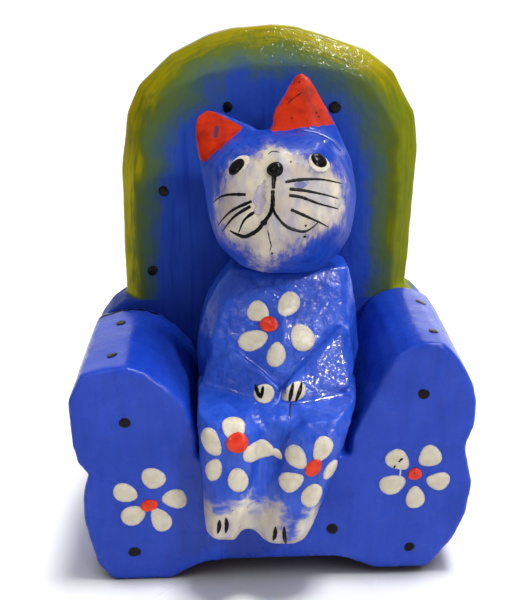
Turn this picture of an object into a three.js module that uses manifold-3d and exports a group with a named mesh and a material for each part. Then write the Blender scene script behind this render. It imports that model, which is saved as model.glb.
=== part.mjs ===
// A carved and painted wooden cat sitting in a round-backed armchair, 131 mm tall.
// The armchair is four sawn pieces glued round dowels: two arms, a seat block and a backrest.
// The cat is two carvings, a body and a head, and it is dowelled onto the seat.
// Millimetres. X runs to the right as seen from the front, Y to the back, Z up.

import * as THREE from 'three';
import { ConvexGeometry } from 'three/addons/geometries/ConvexGeometry.js';
import { mergeVertices } from 'three/addons/utils/BufferGeometryUtils.js';
import Module from 'manifold-3d';

const wasm = await Module();
wasm.setup();

// ---------------------------------------------------------------- driving dimensions

const CHAIR_FRONT = -22.5;      // plane of the arm fronts and the apron
const ARM_DEPTH = 40;
const BACK_FRONT = CHAIR_FRONT + ARM_DEPTH;
const BACK_THICKNESS = 14.5;
const BACK_REAR = BACK_FRONT + BACK_THICKNESS;
const BEVEL_DEPTH = 6;          // of the wide front bevel round the backrest's arch
const REAR_BEVEL = 1.5;
const SEAT_LEFT = -18;          // inner faces of the two arms
const SEAT_RIGHT = 18.75;
const SEAT_TOP = 34;
const APRON_BOTTOM = 5;         // clearance under the seat block
const NECK_Z = 76;              // joint between the cat's body and head
const LEG_BACK = -22.8;         // flat backs of the hanging legs
const GLUE_LINE = 0.3;
const SIDE_FIT = 0.35;          // gap between the cat and either arm
const DOWEL_RADIUS = 2.5;
const DOWEL_SIDES = 16;
const HOLE_CLEARANCE = 0.25;    // radial
const HOLE_END_GAP = 1;         // past each end of a dowel
const HEAD_CENTRE = [2.7, -2, 92.7];
const HEAD_TILT = 19;           // degrees that the face looks up
const CENTRING = -0.35;         // brings the middle of the whole figure to X = 0

// ---------------------------------------------------------------- finishes

const woodFinish = (color, roughness = 0.35) =>
  new THREE.MeshStandardMaterial({ color, roughness, metalness: 0 });

const finishes = {
  armBlue: () => woodFinish(0x3448b4, 0.32),
  seatBlue: () => woodFinish(0x3045b0, 0.34),
  backBlue: () => woodFinish(0x23389a, 0.36),
  bodyBlue: () => woodFinish(0x2f49b8, 0.22),
  headBlue: () => woodFinish(0x3a55c0, 0.25),
  bareWood: () => woodFinish(0xc9a878, 0.8),
};

// ---------------------------------------------------------------- solids

// A closed three.js geometry as a solid that can be joined and cut.
function solidOf(geometry) {
  const bare = geometry.clone();
  bare.deleteAttribute('normal');
  bare.deleteAttribute('uv');
  const merged = mergeVertices(bare, 1e-4);
  const vertProperties = new Float32Array(merged.attributes.position.array);
  const triVerts = new Uint32Array(merged.index.array);
  return new wasm.Manifold(new wasm.Mesh({ numProp: 3, vertProperties, triVerts }));
}

function geometryOf(solid) {
  const mesh = solid.getMesh();
  const positions = new Float32Array(mesh.numVert * 3);
  for (let i = 0; i < mesh.numVert; i += 1) {
    for (let k = 0; k < 3; k += 1) {
      positions[3 * i + k] = mesh.vertProperties[mesh.numProp * i + k];
    }
  }
  const geometry = new THREE.BufferGeometry();
  geometry.setAttribute('position', new THREE.BufferAttribute(positions, 3));
  geometry.setIndex(new THREE.BufferAttribute(new Uint32Array(mesh.triVerts), 1));
  geometry.computeVertexNormals();
  return geometry;
}

// A knife-cut block: the convex solid with these corners, each [x, y, z].
const block = (corners) =>
  solidOf(new ConvexGeometry(corners.map((corner) => new THREE.Vector3(...corner))));

// A board sawn to an outline of [x, z] corners, from y0 at the front to y1 at the back.
function board(outline, y0, y1) {
  const shape = new THREE.Shape(outline.map(([x, z]) => new THREE.Vector2(x, z)));
  const geometry = new THREE.ExtrudeGeometry(shape, { depth: y1 - y0, bevelEnabled: false });
  geometry.rotateX(Math.PI / 2);
  geometry.translate(0, y1, 0);
  return solidOf(geometry);
}

// A sixteen-sided rod between two points.
function rod(from, to, radius) {
  const start = new THREE.Vector3(...from);
  const end = new THREE.Vector3(...to);
  const axis = end.clone().sub(start);
  const geometry = new THREE.CylinderGeometry(radius, radius, axis.length(), DOWEL_SIDES);
  const turn = new THREE.Quaternion();
  turn.setFromUnitVectors(new THREE.Vector3(0, 1, 0), axis.normalize());
  geometry.applyQuaternion(turn);
  geometry.translate(...start.add(end).multiplyScalar(0.5));
  return geometry;
}

// ---------------------------------------------------------------- dowels

const SEAT_DOWEL_Z = 18;
const BACK_DOWEL_Z = 27;
const ARM_BACK_DOWEL_Z = 40;
const HALF_DOWEL = 10;
const HALF_NECK_DOWEL = 12;

const alongX = (x, y, z) => [[x - HALF_DOWEL, y, z], [x + HALF_DOWEL, y, z]];
const alongY = (x, y, z) => [[x, y - HALF_DOWEL, z], [x, y + HALF_DOWEL, z]];
const upright = (x, y, z) => [[x, y, z - HALF_DOWEL], [x, y, z + HALF_DOWEL]];

const DOWELS = {
  neck_dowel: [[4, 2, NECK_Z - HALF_NECK_DOWEL], [4, 2, NECK_Z + HALF_NECK_DOWEL]],
  cat_seat_dowel_left: upright(-8, -4, SEAT_TOP),
  cat_seat_dowel_right: upright(9, -4, SEAT_TOP),
  left_arm_dowel_front: alongX(SEAT_LEFT, -12, SEAT_DOWEL_Z),
  left_arm_dowel_rear: alongX(SEAT_LEFT, 8, SEAT_DOWEL_Z),
  right_arm_dowel_front: alongX(SEAT_RIGHT, -12, SEAT_DOWEL_Z),
  right_arm_dowel_rear: alongX(SEAT_RIGHT, 8, SEAT_DOWEL_Z),
  back_seat_dowel_left: alongY(-7, BACK_FRONT, BACK_DOWEL_Z),
  back_seat_dowel_right: alongY(7, BACK_FRONT, BACK_DOWEL_Z),
  back_arm_dowel_left: alongY(-33, BACK_FRONT, ARM_BACK_DOWEL_Z),
  back_arm_dowel_right: alongY(34, BACK_FRONT, ARM_BACK_DOWEL_Z),
};

// The blind hole round a dowel, a little wider and longer than the dowel.
function dowelHole([from, to]) {
  const along = new THREE.Vector3(...to).sub(new THREE.Vector3(...from)).normalize();
  const extra = along.multiplyScalar(HOLE_END_GAP);
  const start = new THREE.Vector3(...from).sub(extra);
  const end = new THREE.Vector3(...to).add(extra);
  return solidOf(rod(start.toArray(), end.toArray(), DOWEL_RADIUS + HOLE_CLEARANCE));
}

const drilled = (solid, names) =>
  names.reduce((left, name) => left.subtract(dowelHole(DOWELS[name])), solid);

// ---------------------------------------------------------------- armchair

// Both arms are short boards whose front outline runs from the inner foot, up the inner
// face, over the roll and down the scrolled outer side, with a saw-cut notch at the waist.
const LEFT_ARM = [
  [SEAT_LEFT, 4], [-22.75, 1.5], [-25, 0], [-40, 0], [-43.5, 4.5], [-45.25, 12],
  [-46.25, 18.5], [-45.75, 25.75], [-44.25, 30.25], [-46.5, 33.25], [-47.5, 38.5],
  [-47.75, 49.5], [-44.5, 56.5], [-40, 57.75], [-34, 58.5], [-29, 56.75], [-24.5, 53],
  [-20.5, 48.5], [SEAT_LEFT, 41],
];

const RIGHT_ARM = [
  [SEAT_RIGHT, 4.5], [SEAT_RIGHT, 38.5], [20.5, 43.5], [23.75, 50.5], [26.75, 57.5],
  [29, 60.75], [32, 62.5], [35.5, 63.25], [39.5, 63], [42, 60.5], [45, 56.25],
  [47.25, 52], [48.5, 46.75], [48.5, 42], [46.75, 36.75], [46.75, 34.75],
  [49, 25.75], [48.25, 17.5], [45.5, 9.75], [43, 6.25], [38.5, 0], [29, 0], [23.5, 2.5],
];

const SEAT_FRONT = [
  [SEAT_LEFT, 4], [-12, APRON_BOTTOM], [16, APRON_BOTTOM], [SEAT_RIGHT, 4.5],
  [SEAT_RIGHT, SEAT_TOP], [SEAT_LEFT, SEAT_TOP],
];

// The rolls grow a little fuller on the outside towards the backrest. A flare is the wedge
// between a front and a rear outline of [x, z] corners.
const LEFT_FLARE = {
  front: [[-36, 58.4], [-44.5, 56.5], [-47.75, 49.5], [-36, 49.5]],
  rear: [[-37.5, 58.5], [-45.5, 56.2], [-48.3, 49.5], [-36, 49.5]],
};
const RIGHT_FLARE = {
  front: [[39.5, 63], [42, 60.5], [45, 56.25], [47.25, 52], [39.5, 52]],
  rear: [[39.5, 63], [43.6, 61.2], [46.6, 57], [47.9, 52], [39.5, 52]],
};

const flare = ({ front, rear }) => block([
  ...front.map(([x, z]) => [x, CHAIR_FRONT, z]), ...rear.map(([x, z]) => [x, BACK_FRONT, z]),
]);

function leftArm() {
  const arm = board(LEFT_ARM, CHAIR_FRONT, BACK_FRONT).add(flare(LEFT_FLARE));
  return drilled(arm, ['left_arm_dowel_front', 'left_arm_dowel_rear', 'back_arm_dowel_left']);
}

const PARING_HEIGHT = 1.9;      // of the slope pared under the right foot's front edge
const PARING_DEPTH = 4.5;

function rightArm() {
  // The front edge of the right foot is pared away underneath.
  const paring = block([22, 44].flatMap((x) => [
    [x, CHAIR_FRONT - 1, PARING_HEIGHT], [x, CHAIR_FRONT + PARING_DEPTH, 0],
    [x, CHAIR_FRONT - 1, -1], [x, CHAIR_FRONT + PARING_DEPTH, -1],
  ]));
  const arm = board(RIGHT_ARM, CHAIR_FRONT, BACK_FRONT)
    .add(flare(RIGHT_FLARE)).subtract(paring);
  return drilled(arm, ['right_arm_dowel_front', 'right_arm_dowel_rear', 'back_arm_dowel_right']);
}

function seatBlock() {
  return drilled(board(SEAT_FRONT, CHAIR_FRONT, BACK_FRONT), [
    'left_arm_dowel_front', 'left_arm_dowel_rear', 'right_arm_dowel_front',
    'right_arm_dowel_rear', 'back_seat_dowel_left', 'back_seat_dowel_right',
    'cat_seat_dowel_left', 'cat_seat_dowel_right',
  ]);
}

// The arch is cut in straight knife strokes, so its outline is corners and flats.
const ARCH_OUTER = [
  [-38.5, 50], [-38.5, 66], [-38, 95], [-35.75, 109.5], [-32.5, 116.5], [-24, 124.25],
  [-14.5, 128.75], [-8, 130.5], [2, 131.25], [8, 130.75], [15.5, 128.5], [26, 125],
  [33, 120], [39.25, 109.25], [40.5, 99.5], [39.5, 67], [38.75, 50],
];
const ARCH_INNER = [
  [-34, 50], [-34, 93], [-33.25, 102.5], [-29, 112], [-22, 117], [-15.5, 120],
  [-4, 122.25], [12, 122], [20.5, 120.25], [25.5, 118], [30.25, 111.5], [34, 105],
  [35, 90], [34, 70], [33.5, 50],
];

// Below the arch the backrest is as wide as the chair, with sloping shoulders.
const BACK_LOWER = [
  [-40, 0], [-43.5, 4.5], [-45.5, 12], [-46, 24], [-44.5, 30], [-46.5, 36], [-47.25, 48],
  [-46.5, 52.5], [-43, 57], [-38.5, 60.25], [38.75, 62], [42, 60.5], [45, 57.5], [47.5, 53.5],
  [48.5, 48], [47.5, 38], [46.5, 33], [48.25, 25], [47.75, 16], [45, 9], [39, 0],
];

const ARCH_MIDDLE = [0, 90];

function backrest() {
  const shrunk = ([x, z]) => [
    x - REAR_BEVEL * Math.sign(x - ARCH_MIDDLE[0]),
    z - REAR_BEVEL * Math.sign(z - ARCH_MIDDLE[1]),
  ];
  const layer = (outline, y) => outline.map(([x, z]) => [x, y, z]);
  const arch = block([
    ...layer(ARCH_INNER, BACK_FRONT),
    ...layer(ARCH_OUTER, BACK_FRONT + BEVEL_DEPTH),
    ...layer(ARCH_OUTER, BACK_REAR - REAR_BEVEL),
    ...layer(ARCH_OUTER.map(shrunk), BACK_REAR),
  ]);
  const lower = board(BACK_LOWER, BACK_FRONT, BACK_REAR);
  return drilled(lower.add(arch), [
    'back_seat_dowel_left', 'back_seat_dowel_right',
    'back_arm_dowel_left', 'back_arm_dowel_right',
  ]);
}

// ---------------------------------------------------------------- cat, body

// Torso sections from the seat to the neck: height, left, right, front, back.
const TORSO_SECTIONS = [
  [SEAT_TOP + GLUE_LINE, -17.2, 17.6, -15.5, 14],
  [41, -17.6, 18.7, -16, 15],
  [48, -18.2, 21.8, -16.5, 16],
  [54, -18.2, 22.8, -15.8, 16.5],
  [60, -17.6, 22.2, -14.5, 16.5],
  [66, -15.8, 21.4, -12.5, 16],
  [72, -12.4, 20.3, -10, 14.5],
  [NECK_Z, -9, 19.2, -7.5, 13],
];

const SIDE_FLAT = [-3, 6];      // Y of the ends of the flat on either side
const FRONT_CORNER = [3.3, 3];  // cut off each front corner, along X and Y
const BACK_CORNER = 5;          // cut off each back corner, along X
const CHEST_RIDGE = 0.47;       // across each section from the left; the ridge is low

// Each section is a rectangle with its corners pared off and a low ridge down the chest.
function torso() {
  const corners = TORSO_SECTIONS.flatMap(([z, left, right, front, back]) => [
    [left, SIDE_FLAT[0], z], [left, SIDE_FLAT[1], z],
    [left + BACK_CORNER, back, z], [right - BACK_CORNER, back, z],
    [right, SIDE_FLAT[1], z], [right, SIDE_FLAT[0], z],
    [right - FRONT_CORNER[0], front + FRONT_CORNER[1], z],
    [left + CHEST_RIDGE * (right - left), front, z],
    [left + FRONT_CORNER[0], front + FRONT_CORNER[1], z],
  ]);
  return block(corners);
}

const lap = () => block([
  [-17.2, -8, SEAT_TOP + GLUE_LINE], [17, -8, SEAT_TOP + GLUE_LINE],
  [-17, -23, SEAT_TOP + GLUE_LINE], [15.2, -23, SEAT_TOP + GLUE_LINE],
  [-17.4, -26, 39], [15.2, -25.5, 39], [-17.8, -20, 46], [18.6, -20, 44.6],
  [-17.8, -25, 45.6], [18.4, -24.6, 44.6], [-16, -25.6, 45.2], [15, -25.4, 44.8],
  [-15, -17, 48.4], [17, -17, 48.4], [-15, -8, 48], [17, -8, 48.6],
]);

// The front of each knee, shared by the thigh and the shin.
const LEFT_KNEE = [[-17.8, -23.6, 47.6], [-15.2, -27.6, 47], [-6.4, -28.2, 46.4]];
const RIGHT_KNEE = [[18.6, -23.4, 45.2], [14.4, -27.2, 46.4], [7, -27.8, 46]];

const leftHip = () => block([
  ...LEFT_KNEE, [-17.9, -9, 50.4], [-17.9, -16, 49.6], [-14.4, -15, 49.8],
  [-9, -16, 48.8], [-4, -17.5, 47],
  [-17.4, -9, 38], [-4, -9, 38], [-17.4, -25, 38], [-4, -26, 38],
]);

const rightHip = () => block([
  ...RIGHT_KNEE, [21.4, -9, 49.4], [20.6, -17, 48], [19.6, -21, 46.2],
  [15.6, -17.5, 47.8], [6, -18.2, 47.2],
  [17.4, -9, 39], [4, -9, 38], [16.2, -23.5, 39], [4, -25.5, 38],
]);

const leftLeg = () => block([
  ...LEFT_KNEE, [-17.8, LEG_BACK, 45], [-17.4, -26.4, 43], [-15.6, -29, 43.6],
  [-13.2, -29.8, 43.8], [-6.4, -30, 43.6], [-3.4, -28, 44], [-3, LEG_BACK, 44],
  [-16.8, LEG_BACK, 25], [-16.8, -28, 26], [-14, -31.6, 25], [-7.4, -31.6, 25],
  [-5.4, -29.2, 26],
  [-16.2, LEG_BACK, 16.8], [-16.2, -28.5, 17.8], [-14.2, -32, 18.6], [-9.6, -32.2, 18.6],
  [-8.2, -29.5, 17.6], [-8.2, LEG_BACK, 16], [-13.8, -30, 16.6], [-9.2, -30, 16.4],
]);

const rightLeg = () => block([
  ...RIGHT_KNEE, [18.4, LEG_BACK, 43.6], [17.2, -26.2, 42], [15, -28.8, 42.4],
  [12.6, -29.6, 42.8], [6.4, -29.8, 43], [3.4, -28, 43.8], [3, LEG_BACK, 43],
  [14.4, LEG_BACK, 29], [13.6, -28, 31], [10.4, -31.2, 30], [1.6, -31.4, 28],
  [-1.5, -29.2, 28], [10.8, LEG_BACK, 20.5], [9.6, -28.8, 22],
  [7.6, -29.4, 16], [6.3, LEG_BACK, 13.4], [4.8, -32.2, 18], [-1.2, -32.2, 18],
  [-4.4, -29.6, 18.8], [-4.4, LEG_BACK, 15.5], [-2.4, -29.8, 15.4],
  [-1, LEG_BACK, 12.6], [4.6, -30.2, 14.6], [-0.8, -30.2, 14.6],
]);

// A web of wood left between the shins, set back from their fronts.
const shinWeb = () => block([
  [-8, LEG_BACK, 42.5], [6, LEG_BACK, 42.5], [-5, -25.4, 41.5], [4, -25.4, 41.5],
  [-8.6, -29, 24], [-3.2, -29.4, 24], [-8.6, -29.6, 18.8], [-4, -29.8, 18.4],
  [-8.6, LEG_BACK, 18.2], [-3.8, LEG_BACK, 17.8],
]);

// The forearms lie along the belly and meet over the lap.
const leftForearm = () => block([
  [-15.4, -9, 57.5], [-9, -14, 58.8], [-2.4, -17.1, 54.6], [2, -19.1, 51],
  [-17.2, -14.6, 50], [-9, -17.4, 48.4], [-4.2, -19, 46.6], [0.6, -19.6, 47],
  [-10, -8, 45], [0, -8, 45],
]);

const rightForearm = () => block([
  [17.4, -11.7, 64.4], [9.9, -15.5, 57.7], [3, -19.1, 51.4],
  [19.4, -11, 62], [20.4, -13, 54], [19, -16.8, 49.6], [9, -19.4, 47.6], [2.4, -19.8, 47.6],
  [12, -8, 60], [4, -8, 45], [15, -8, 46],
]);

function catBody() {
  const carving = [lap, leftHip, rightHip, leftLeg, rightLeg, shinWeb, leftForearm, rightForearm]
    .reduce((whole, part) => whole.add(part()), torso());
  // The hips are pared to fit between the arms.
  const fitted = carving
    .subtract(board(LEFT_ARM, CHAIR_FRONT, BACK_FRONT).translate([SIDE_FIT, 0, 0]))
    .subtract(board(RIGHT_ARM, CHAIR_FRONT, BACK_FRONT).translate([-SIDE_FIT, 0, 0]));
  return drilled(fitted, ['neck_dowel', 'cat_seat_dowel_left', 'cat_seat_dowel_right']);
}

// ---------------------------------------------------------------- cat, head

// The head is drawn looking straight ahead, as [x, z] outlines round its own centre,
// and then tilted up. Its widest outline is at y = 0.
const HEAD_OUTLINE = [
  [-18.8, 8], [-17.9, -2], [-16.7, -7.6], [-14.6, -12], [-10, -16.2], [-4, -18.6],
  [4, -19], [9.2, -17.6], [13.8, -13.8], [16.8, -9], [18.5, 0], [18.2, 3.4],
  [16.4, 9.4], [13.6, 14.6], [8, 16.4], [-6, 16.4], [-14, 14.5],
];

// Outlines in front of and behind the widest one: distance, share of its size, x, z shift.
const HEAD_LAYERS = [
  [-13.5, 0.6, -1, -0.5],
  [-10, 0.82, -0.6, -0.3],
  [0, 1, 0, 0],
  [9, 0.84, 0, 0.2],
  [13.5, 0.55, 0, 0.2],
];

// The face is a low ridge from the brow over the nose and the mouth to the chin.
const FACE_RIDGE = [
  [-0.8, -14.4, 9.5], [-1.4, -16.2, 6.4], [-1.8, -16.4, -1.5], [-2.6, -15.6, -8.5],
  [-3.6, -12.4, -14.5],
];

const LEFT_EAR = {
  front: [[-18.4, 3, -1], [-18.9, 8, -4], [-20.2, 15.5, -2.6], [-19.8, 19.2, -1.8], [-17, 21, -1.4],
    [-13.6, 20.2, -1.6], [-5.6, 16.2, -3]],
  rear: [[-18.2, 3, 3], [-18.4, 8, 5], [-19.6, 15.5, 2.6], [-19.2, 18.6, 1.9], [-17, 20.2, 1.9],
    [-13.4, 19.6, 2.4], [-5.6, 15.8, 5], [-14, 8, 5], [-14, 8, -6]],
};

const RIGHT_EAR = {
  front: [[18.3, 3, -0.5], [16.6, 9.6, -3.4], [12.7, 18, -2.6], [6.9, 29, -0.6], [5.2, 29.8, -0.4],
    [3.8, 29.2, -0.6], [1.7, 26, -1], [-1.5, 20.6, -2.4], [-2.6, 15.4, -4.6]],
  rear: [[18, 3, 2], [15.8, 9.6, 5.4], [12.2, 18, 4.6], [6.7, 28.6, 2.2], [5.2, 29.3, 2.2],
    [3.9, 28.8, 2.2], [1.9, 25.6, 2.8], [-1.3, 20.2, 4], [-2.4, 15, 6], [8, 8, -8], [6, 8, 8]],
};

const SAW_CUT = 60;             // wider than the head: everything under the neck joint goes

const earCorners = ({ front, rear }) => [...front, ...rear].map(([x, z, y]) => [x, y, z]);

function catHead() {
  const layers = HEAD_LAYERS.flatMap(([y, share, dx, dz]) =>
    HEAD_OUTLINE.map(([x, z]) => [x * share + dx, y, z * share + dz]));
  const drawn = block([...layers, ...FACE_RIDGE])
    .add(block(earCorners(LEFT_EAR)))
    .add(block(earCorners(RIGHT_EAR)));
  const tilted = geometryOf(drawn);
  tilted.rotateX(-THREE.MathUtils.degToRad(HEAD_TILT));
  tilted.translate(...HEAD_CENTRE);
  const underNeck = new THREE.BoxGeometry(SAW_CUT, SAW_CUT, SAW_CUT);
  underNeck.translate(0, 0, NECK_Z + GLUE_LINE - SAW_CUT / 2);
  return drilled(solidOf(tilted).subtract(solidOf(underNeck)), ['neck_dowel']);
}

// ---------------------------------------------------------------- assembly

const figure = new THREE.Group();
figure.position.x = CENTRING;

function place(name, geometry, finish) {
  const mesh = new THREE.Mesh(geometry, finish());
  mesh.name = name;
  figure.add(mesh);
}

place('left_arm', geometryOf(leftArm()), finishes.armBlue);
place('right_arm', geometryOf(rightArm()), finishes.armBlue);
place('seat_block', geometryOf(seatBlock()), finishes.seatBlue);
place('backrest', geometryOf(backrest()), finishes.backBlue);
place('cat_body', geometryOf(catBody()), finishes.bodyBlue);
place('cat_head', geometryOf(catHead()), finishes.headBlue);
for (const [name, [from, to]] of Object.entries(DOWELS)) {
  place(name, rod(from, to, DOWEL_RADIUS), finishes.bareWood);
}

export default figure;
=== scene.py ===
"""The looks of a carved and painted wooden cat in an armchair, built round its CAD frame.

Each carved piece starts from its CAD solid. Paint softens the knife-cut edges, and the brushwork
lies on top in relief: flowers, dots, face, claws. Lengths are millimetres unless they say metres.
"""

import math

import bmesh
import bpy
import numpy as np
from mathutils import Matrix, Vector, noise
from mathutils.bvhtree import BVHTree


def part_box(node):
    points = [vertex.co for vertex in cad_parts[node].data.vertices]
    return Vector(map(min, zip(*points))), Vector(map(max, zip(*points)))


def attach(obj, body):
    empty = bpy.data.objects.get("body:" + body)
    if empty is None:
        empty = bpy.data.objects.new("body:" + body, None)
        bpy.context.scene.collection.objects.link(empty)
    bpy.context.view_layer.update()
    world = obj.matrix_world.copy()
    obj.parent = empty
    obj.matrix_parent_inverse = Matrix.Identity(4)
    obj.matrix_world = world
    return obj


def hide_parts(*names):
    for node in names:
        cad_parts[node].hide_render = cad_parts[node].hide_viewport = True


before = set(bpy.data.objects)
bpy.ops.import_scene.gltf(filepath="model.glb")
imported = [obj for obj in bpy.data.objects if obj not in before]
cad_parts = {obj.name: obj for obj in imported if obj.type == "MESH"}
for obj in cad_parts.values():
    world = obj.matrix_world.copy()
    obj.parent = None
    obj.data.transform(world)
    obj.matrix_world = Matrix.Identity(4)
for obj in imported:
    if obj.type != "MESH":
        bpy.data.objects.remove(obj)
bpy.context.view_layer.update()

MM = 0.001
BODY = "root"
CENTRING = -0.35          # the CAD's own shift along X, so that places here match the carving's
HEAD_CENTRE = Vector((2.7, -2.0, 92.7))
HEAD_TILT = math.radians(19)
SEAT_LEFT, SEAT_RIGHT = -18.0, 18.75  # where the seat meets the arms
SEAT_STRETCH = 1.0        # how much longer the seat is made along X, so that it runs into the arms
WOOD_VOXEL = 0.7          # the size of a skin's faces
BODY_VOXEL = 0.45
HEAD_VOXEL = 0.4
ARCH_FADE = 16.0          # how far inside the arch's outline its last green has faded out

CAMERA_PLACE = (-9.1, -198.5, 138.5)
CAMERA_PITCH = 20.0       # degrees below the horizon
CAMERA_YAW = 2.3          # degrees to the right of straight ahead
CAMERA_LENS = 50.46       # mm on a 36 mm long side

scene = bpy.context.scene


def metres(x, y, z):
    """A place in the carving's millimetres as a point in the frame."""
    return Vector((x + CENTRING, y, z)) * MM


def srgb(red, green, blue):
    """A screen colour from 0 to 255 as the linear colour that a shader takes."""
    def linear(value):
        share = value / 255
        return share / 12.92 if share <= 0.04045 else ((share + 0.055) / 1.055) ** 2.4
    return (linear(red), linear(green), linear(blue), 1.0)


# ---------------- softened solids

def add_object(name, data):
    """A new object in the scene."""
    obj = bpy.data.objects.new(name, data)
    scene.collection.objects.link(obj)
    return obj


def add_mesh(name, bm):
    """A new object with the mesh of bm, which is freed."""
    mesh = bpy.data.meshes.new(name)
    bm.to_mesh(mesh)
    bm.free()
    return add_object(name, mesh)


def joined(name, nodes, widen=()):
    """One new object with copies of these CAD nodes. Those in widen are stretched along X."""
    bm = bmesh.new()
    for node in nodes:
        first = len(bm.verts)
        bm.from_mesh(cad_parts[node].data)
        if node in widen:
            bm.verts.ensure_lookup_table()
            low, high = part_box(node)
            middle = (low[0] + high[0]) / 2
            stretch = 1 + SEAT_STRETCH * MM / (high[0] - low[0])
            for vert in bm.verts[first:]:
                vert.co.x = middle + (vert.co.x - middle) * stretch
    return add_mesh(name, bm)


def apply_modifiers(obj):
    """Gives obj the mesh that its modifiers make of it."""
    depsgraph = bpy.context.evaluated_depsgraph_get()
    mesh = bpy.data.meshes.new_from_object(obj.evaluated_get(depsgraph))
    mesh.name = obj.name
    obj.modifiers.clear()
    obj.data = mesh


def points_of(obj):
    """The mesh's points as an N by 3 array in the carving's millimetres."""
    flat = np.empty(len(obj.data.vertices) * 3)
    obj.data.vertices.foreach_get("co", flat)
    points = flat.reshape(-1, 3) / MM
    points[:, 0] -= CENTRING
    return points


def move_points(obj, points):
    """Puts the mesh's points at these places in the carving's millimetres."""
    moved = points.copy()
    moved[:, 0] += CENTRING
    obj.data.vertices.foreach_set("co", (moved * MM).ravel())
    obj.data.update()


def normals_of(obj):
    """The direction that the mesh faces at each point, as an N by 3 array."""
    flat = np.empty(len(obj.data.vertices) * 3)
    obj.data.vertices.foreach_get("normal", flat)
    return flat.reshape(-1, 3)


def lumps(points, size, seed):
    """Smooth noise from about -1 to 1 with lumps of this size."""
    offset = Vector((seed * 7.3, seed * 3.1, seed * 5.7))
    return np.array([noise.noise(Vector(point) / size + offset) for point in points])


def relax(obj, rounds, share=1.0):
    """Moves each point halfway to its neighbours' middle, times its share, as paint rounds corners."""
    points = points_of(obj)
    ends = np.empty(len(obj.data.edges) * 2, np.int32)
    obj.data.edges.foreach_get("vertices", ends)
    first, second = ends.reshape(-1, 2).T
    count = len(points)
    neighbours = np.bincount(first, minlength=count) + np.bincount(second, minlength=count)
    for _ in range(rounds):
        for axis in range(3):
            total = np.bincount(first, points[second, axis], count)
            total += np.bincount(second, points[first, axis], count)
            points[:, axis] += 0.5 * share * (total / neighbours - points[:, axis])
    move_points(obj, points)


def remesh(obj, voxel):
    """Turns obj into one closed smooth skin of even little faces."""
    modifier = obj.modifiers.new("remesh", "REMESH")
    modifier.mode = "VOXEL"
    modifier.voxel_size = voxel * MM
    apply_modifiers(obj)
    obj.data.shade_smooth()


def add_waves(obj, *waves):
    """Pushes the surface in and out by (size, height, seed) waves of shallow lumps."""
    points = points_of(obj)
    push = sum(height * lumps(points, size, seed) for size, height, seed in waves)
    points += normals_of(obj) * push[:, None]
    points[:, 2] = np.maximum(points[:, 2], 0)
    move_points(obj, points)


def cut_off(obj, name, low, high):
    """A closed piece of obj between two X planes, with flat faces where it was cut."""
    bm = bmesh.new()
    bm.from_mesh(obj.data)
    for x, outward in ((low, -1), (high, 1)):
        if x is None:
            continue
        place = metres(x, 0, 0)
        everything = bm.verts[:] + bm.edges[:] + bm.faces[:]
        cut = bmesh.ops.bisect_plane(
            bm, geom=everything, plane_co=place, plane_no=(outward, 0, 0), clear_outer=True)
        rim = [item for item in cut["geom_cut"] if isinstance(item, bmesh.types.BMEdge)]
        filled = bmesh.ops.triangle_fill(bm, use_beauty=True, use_dissolve=False, edges=rim)
        for face in filled["geom"]:
            if isinstance(face, bmesh.types.BMFace):
                face.smooth = False
        for edge in rim:
            edge.smooth = False
    bmesh.ops.recalc_face_normals(bm, faces=bm.faces)
    return add_mesh(name, bm)


def stands_for(obj, nodes, material):
    """Rides obj on the figure in place of these nodes."""
    obj.data.materials.clear()
    obj.data.materials.append(material)
    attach(obj, BODY)
    if nodes:
        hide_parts(*nodes)
    return obj


# ---------------- areas of paint

def off_line(points, start, end):
    """How far each 2-D point is from the straight line between two places."""
    side = np.subtract(end, start)
    share = np.clip(((points - start) @ side) / (side @ side), 0, 1)
    return np.linalg.norm(points - start - share[:, None] * side, axis=1)


def inside(points, outline):
    """How far each 2-D point lies inside a closed outline; negative outside it."""
    corners = np.array(outline, float)
    distance = np.full(len(points), np.inf)
    crossings = np.zeros(len(points), int)
    for start, end in zip(corners, np.roll(corners, -1, axis=0)):
        side = end - start
        distance = np.minimum(distance, off_line(points, start, end))
        rises = (start[1] > points[:, 1]) != (end[1] > points[:, 1])
        with np.errstate(divide="ignore", invalid="ignore"):
            x = start[0] + (points[:, 1] - start[1]) * side[0] / side[1]
        crossings += rises & (points[:, 0] < x)
    return np.where(crossings % 2 == 1, distance, -distance)


def store(obj, name, values):
    """Keeps a number for each point, which a material reads by name."""
    attribute = obj.data.attributes.new(name, "FLOAT", "POINT")
    attribute.data.foreach_set("value", np.asarray(values, np.float32))


def head_local(points):
    """Points in the carving's millimetres as the untilted head has them, from its own centre."""
    turn = np.array(Matrix.Rotation(HEAD_TILT, 3, "X"))
    return (points - np.array(HEAD_CENTRE)) @ turn.T


# ---------------- materials

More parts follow.
